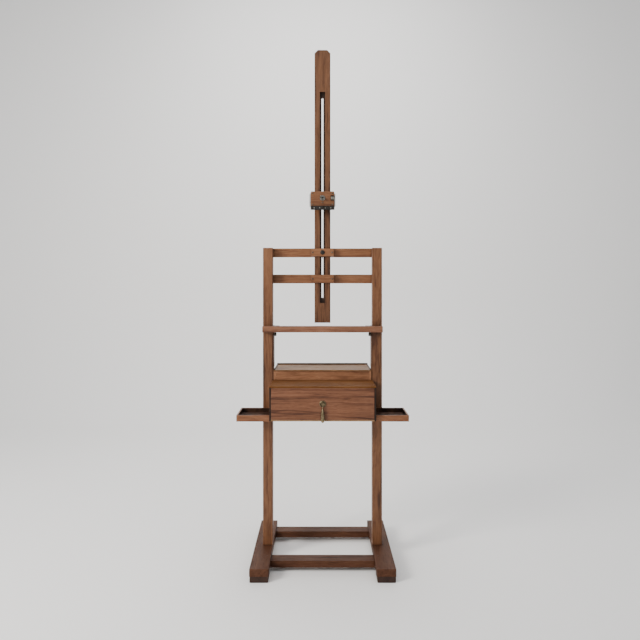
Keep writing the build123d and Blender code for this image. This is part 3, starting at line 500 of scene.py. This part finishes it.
class Growth:
    """A Geometry Nodes tree that is built up node by node, with named inputs for its sizes."""

    def __init__(self, name, sizes):
        self.tree = bpy.data.node_groups.new(name, "GeometryNodeTree")
        kinds = {float: "NodeSocketFloat", int: "NodeSocketInt", tuple: "NodeSocketVector"}
        kinds[bpy.types.Material] = "NodeSocketMaterial"
        self.names = {}
        for size, value in sizes.items():
            socket = self.socket(size, "INPUT", kinds[type(value)])
            self.names[size] = (socket.identifier, value)
        self.socket("Geometry", "OUTPUT", "NodeSocketGeometry")
        self.inputs = self.tree.nodes.new("NodeGroupInput")
        self.outputs = self.tree.nodes.new("NodeGroupOutput")

    def socket(self, name, way, kind):
        """Adds a named input or output to the tree."""
        return self.tree.interface.new_socket(name, in_out=way, socket_type=kind)

    def size(self, name):
        """The socket of a named input."""
        return self.inputs.outputs[name]

    def node(self, kind, settings=None, sockets=None, output=0):
        """Adds a node, makes its settings, sets or links its inputs, and returns an output."""
        prefix = "" if kind.startswith(("Function", "Shader")) else "GeometryNode"
        made = self.tree.nodes.new(prefix + kind)
        for setting, value in (settings or {}).items():
            setattr(made, setting, value)
        for key, value in (sockets or {}).items():
            if isinstance(value, bpy.types.NodeSocket):
                self.tree.links.new(value, made.inputs[key])
            else:
                made.inputs[key].default_value = value
        return made.outputs[output]

    def grow(self, name, geometry, body):
        """Ends the tree, runs it once and keeps the result as a plain piece on a body."""
        real = self.node("RealizeInstances", sockets={0: geometry})
        finish = {"Geometry": real, "Material": self.size("Material")}
        done = self.node("SetMaterial", sockets=finish)
        self.tree.links.new(done, self.outputs.inputs[0])
        seed_mesh = bpy.data.meshes.new(name + "_seed")
        seed = bpy.data.objects.new(name + "_seed", seed_mesh)
        bpy.context.collection.objects.link(seed)
        modifier = seed.modifiers.new("growth", "NODES")
        modifier.node_group = self.tree
        for identifier, value in self.names.values():
            modifier[identifier] = value
        graph = bpy.context.evaluated_depsgraph_get()
        mesh = bpy.data.meshes.new_from_object(seed.evaluated_get(graph))
        seed.modifiers.clear()
        bpy.data.objects.remove(seed)
        mesh.name = name
        piece = bpy.data.objects.new(name, mesh)
        bpy.context.collection.objects.link(piece)
        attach(piece, body)


def stud_row(name, start, end, count, facing, radius, height, material, body):
    """A row of domed studs from start to end, standing out along facing."""
    sizes = {"Start": tuple(start), "End": tuple(end), "Count": count, "Facing": tuple(facing)}
    sizes.update({"Radius": radius, "Height": height, "Material": material})
    row = Growth(name + "_tree", sizes)
    ends = {"Start Location": row.size("Start"), "Offset": row.size("End")}
    line = row.node("MeshLine", {"mode": "END_POINTS"}, {"Count": row.size("Count"), **ends})
    dome = row.node("MeshUVSphere", {}, {"Segments": 20, "Rings": 10, "Radius": 1.0})
    spread = row.size("Radius")
    stretch = row.node("ShaderNodeCombineXYZ", {}, {0: spread, 1: spread, 2: row.size("Height")})
    facing_out = {"Vector": row.size("Facing")}
    turn = row.node("FunctionNodeAlignRotationToVector", {"axis": "Z"}, facing_out)
    sockets = {"Points": line, "Instance": dome, "Rotation": turn, "Scale": stretch}
    studs = row.node("InstanceOnPoints", {}, sockets)
    smooth = row.node("SetShadeSmooth", {}, {0: row.node("RealizeInstances", sockets={0: studs})})
    row.grow(name, smooth, body)


lip_low, lip_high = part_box("clamp_lip")
rivet_line = (lip_low.z + lip_high.z) / 2
rivet_reach = lip_high.x - 0.016
stud_row(
    "lip_rivets",
    start=(-rivet_reach, lip_low.y, rivet_line),
    end=(rivet_reach, lip_low.y, rivet_line),
    count=4,
    facing=(0.0, -1.0, 0.0),
    radius=0.0026,
    height=0.0009,
    material=aged_steel,
    body="canvas_clamp",
)


# ---------------------------------------------------------------- picture ledge
# A grooved oak shelf glued to two long L-shaped guides that hug the posts, resting on the stops
# and pinched to the posts by two knurled iron thumbscrews.

wear("picture_ledge", timber("ledge_oak", (0.2, 0.087, 0.046), along_x, (0.0, 1.1), (0.01, 0.02)))
wear("ledge_blocks", timber("ledge_block_oak", shade(oak, 0.7), along_x, (0.0, 1.1)))
wear("ledge_guide_right", timber("right_guide_oak", shade(oak, 0.62), along_z, (0.2, 0.06)))
wear("ledge_guide_left", timber("left_guide_oak", shade(oak, 0.62), along_z, (-0.3, 0.06)))
wear("ledge_stops", timber("stop_oak", shade(oak, 0.72), along_z, (0.1, 0.06)))
worn_iron = metal("worn_iron", (0.17, 0.165, 0.14), (0.05, 0.048, 0.038), 0.42, 0.55)
wear("thumbscrew_right", worn_iron)
wear("thumbscrew_left", worn_iron)


def ridge_ring(name, centre, radius, width, count, thickness, material, body):
    """Fine ridges round a knob whose axis lies along X."""
    sizes = {"Centre": tuple(centre), "Radius": radius, "Width": width, "Count": count}
    sizes.update({"Thickness": thickness, "Material": material})
    ring = Growth(name + "_tree", sizes)
    round_head = {"Vertices": ring.size("Count"), "Radius": ring.size("Radius")}
    circle = ring.node("MeshCircle", {}, round_head)
    rod = {"Vertices": 8, "Radius": ring.size("Thickness"), "Depth": ring.size("Width")}
    profile = ring.node("MeshCylinder", {}, rod)
    ridges = ring.node("InstanceOnPoints", {}, {"Points": circle, "Instance": profile})
    onto_x = {"Translation": ring.size("Centre"), "Rotation": (0.0, math.pi / 2, 0.0)}
    placed = ring.node("Transform", {}, {0: ridges, **onto_x})
    ring.grow(name, placed, body)


head_offset = 0.0028  # from the middle of the whole screw to the middle of its head
for side, inward in (("right", -1.0), ("left", 1.0)):
    low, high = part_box("thumbscrew_" + side)
    head_middle = Vector(((low.x + high.x) / 2, (low.y + high.y) / 2, (low.z + high.z) / 2))
    head_middle.x += inward * head_offset
    ridge_ring(
        f"thumbscrew_{side}_ridges",
        centre=head_middle,
        radius=(high.z - low.z) / 2,
        width=0.0074,
        count=28,
        thickness=0.00055,
        material=worn_iron,
        body="thumbscrew_" + side,
    )


# ---------------------------------------------------------------- paint box
# The case: oak sides screwed straight to the posts, a back let in between them, a thin floor and
# a board over the front half of the top.

case_oak = shade(oak, 0.98)
side_low, side_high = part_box("box_side_right")
# The front 3 mm of each side is darkened with painted shade.
around = 0.01
edge_shade_depth = 0.003
front_edge = (
    (side_low.x - around, side_low.y - around, side_low.z - around),
    (side_high.x + around, side_low.y + edge_shade_depth, side_high.z + around),
)
# The right side is painted darker than the left, as shade away from the light.
for side, tone, pith in (("right", 0.5, (0.3, 0.66)), ("left", 0.72, (-0.3, 0.7))):
    side_oak = timber(
        f"{side}_side_oak", shade(oak, tone), along_y, pith, (0.0, 0.03), shaded_room=front_edge
    )
    wear("box_side_" + side, side_oak)
wear("box_back", timber("box_back_oak", case_oak, along_x, (0.28, 0.68), (0.01, 0.05)))
# The top board's colour is darkened with painted shade, as if little light reached it from above.
shaded_top_oak = timber(
    "shaded_box_top_oak", (0.128, 0.051, 0.0155), along_x, (-0.12, 0.74), (0.04, 0.01),
    roughness=0.6, wax=0.0, shine=0.06,
)
wear("box_top_front", shaded_top_oak)
bare_wood = (0.36, 0.2, 0.095)
unwaxed = {"roughness": 0.62, "wax": 0.0}
floor_wood = timber("box_floor_wood", shade(bare_wood, 0.7), along_x, (0.0, 0.6), **unwaxed)
wear("box_floor", floor_wood)
wear("drawer_guides", timber("guide_wood", bare_wood, along_y, (0.1, 0.6), **unwaxed))


# ---------------------------------------------------------------- well and lid
# A shallow well behind the top board, under a hinged lid: four oak walls, a thin panel and a low
# rim that stops tubes from rolling off. Panel pins hold the panel to the walls.

wear("well_floor", timber("well_floor_wood", bare_wood, along_x, (0.0, 0.7), **unwaxed))
lid_low, lid_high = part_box("lid_panel")
wall_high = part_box("lid_walls")[1]
lid_wall = 0.0101  # just over the wall's thickness
rim_inner = 0.0055  # from the lid's side to the rim's inner face
well_wood = timber(
    "well_wall_wood", bare_wood, along_x, (0.1, 0.7),
    cross_grain_beyond=lid_high.x - lid_wall, **unwaxed,
)
wear("well_walls", well_wood)
lid_oak = timber(
    "lid_wall_oak", (0.268, 0.119, 0.056), along_x, (0.02, 0.79), (0.03, 0.05),
    cross_grain_beyond=wall_high.x - lid_wall,
)
wear("lid_walls", lid_oak)
panel_oak = timber(
    "lid_panel_oak", (0.2, 0.1, 0.04), along_x, (0.12, 0.78), (0.05, 0.02),
    roughness=0.52, wax=0.03, shine=0.2,
)
wear("lid_panel", panel_oak)
rim_oak = timber(
    "lid_rim_oak", shade(oak, 0.25), along_x, (0.1, 0.8),
    cross_grain_beyond=lid_high.x - rim_inner,
)
wear("lid_rim", rim_oak)

pin_inset = 0.005
corner_inset = 0.008
rim_inset = 0.005
pin_reach = lid_high.x - pin_inset - corner_inset
rear_pins = lid_high.y - pin_inset - rim_inset
for end, pin_y in (("front", lid_low.y + pin_inset), ("rear", rear_pins)):
    stud_row(
        f"lid_{end}_pins",
        start=(-pin_reach, pin_y, lid_high.z),
        end=(pin_reach, pin_y, lid_high.z),
        count=6,
        facing=(0.0, 0.0, 1.0),
        radius=0.0012,
        height=0.0003,
        material=black_iron,
        body="lid",
    )


# ---------------------------------------------------------------- hinges
# Two brass butt hinges with countersunk brass screws, gone brown in the corners.

old_brass = metal("old_brass", (0.3, 0.22, 0.115), (0.07, 0.05, 0.028), 0.34, 0.75)
for part in ("lid_hinge_leaves", "box_hinge_leaves", "lid_hinge_screws", "box_hinge_screws"):
    wear(part, old_brass)
wear("hinge_pins", old_brass)


# ---------------------------------------------------------------- drawer
# A wide oak front with long dark streaks, on a paler drawer with two cross dividers.

front_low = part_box("drawer_front")[0]
red_oak = (0.148, 0.057, 0.026)
drawer_oak = timber(
    "drawer_front_oak", red_oak, along_x, (front_low.y + 0.02, 0.715), (0.05, 0.02),
    figure=2.0,
)
wear("drawer_front", drawer_oak)
shell_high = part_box("drawer_walls")[1]
drawer_wall = 0.0081  # just over the wall's thickness
inner_wax = {"roughness": 0.6, "wax": 0.05}
drawer_wood = timber(
    "drawer_wall_wood", bare_wood, along_x, (0.05, 0.7),
    cross_grain_beyond=shell_high.x - drawer_wall, **inner_wax,
)
wear("drawer_walls", drawer_wood)
bottom_wood = timber(
    "drawer_bottom_wood", shade(bare_wood, 0.9), along_x, (0.1, 0.6), **inner_wax
)
wear("drawer_bottom", bottom_wood)
wear("drawer_dividers", timber("divider_wood", bare_wood, along_x, (0.0, 0.6), **inner_wax))


# ---------------------------------------------------------------- drawer pull
# A brass plate with two turned rings round its stud, a forked stud with a pin through it, and a
# long cast drop, all brown with age and bright only where fingers rub them.

bronze = metal("bronze", (0.27, 0.21, 0.12), (0.055, 0.042, 0.026), 0.3, 0.8)
for part in ("pull_plate", "pull_stud", "pull_drop"):
    wear(part, bronze)


def turned_ring(name, centre, radius, thickness, material, body):
    """A round bead turned on the front of a plate that faces the front."""
    sizes = {"Centre": tuple(centre), "Radius": radius, "Thickness": thickness}
    ring = Growth(name + "_tree", {**sizes, "Material": material})
    path, profile = (
        ring.node("CurvePrimitiveCircle", {}, {"Resolution": steps, "Radius": ring.size(size)})
        for size, steps in (("Radius", 64), ("Thickness", 14))
    )
    bead = ring.node("CurveToMesh", {}, {"Curve": path, "Profile Curve": profile})
    facing = {"Translation": ring.size("Centre"), "Rotation": (math.pi / 2, 0.0, 0.0)}
    placed = ring.node("Transform", {}, {0: bead, **facing})
    smooth = ring.node("SetShadeSmooth", {}, {0: placed})
    ring.grow(name, smooth, body)


plate_low, plate_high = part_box("pull_plate")
plate_radius = (plate_high.x - plate_low.x) / 2
sunk = 0.0002  # the beads' middles lie this far inside the plate's front
plate_middle = Vector((0.0, plate_low.y + sunk, (plate_low.z + plate_high.z) / 2))
for name, reach, thickness in (("outer", 0.88, 0.0012), ("inner", 0.58, 0.001)):
    turned_ring(
        f"pull_{name}_ring", plate_middle, plate_radius * reach, thickness,
        bronze, "drawer",
    )


# ---------------------------------------------------------------- side trays
# Shallow oak trays screwed to the sides of the box, darkened inside with painted shade.

tray_low, tray_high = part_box("side_trays")
tray_wall = 0.006
wall_top = 0.0012  # the walls' top stays free of painted shade
shade_floor = 0.004  # starts inside the tray's floor
shade_reach = 0.0005  # how far the painted shade goes into the walls
inside = (
    (side_high.x - 0.001, tray_low.y + tray_wall - shade_reach, tray_low.z + shade_floor),
    (tray_high.x - tray_wall + shade_reach, tray_high.y - tray_wall + shade_reach, tray_high.z - wall_top),
)
tray_oak = timber(
    "tray_oak", (0.19, 0.08, 0.039), along_x, (0.0, 0.72), (0.01, 0.05),
    cross_grain_beyond=tray_high.x - tray_wall - 0.0001, shaded_room=inside, shine=0.14,
)
wear("side_trays", tray_oak)
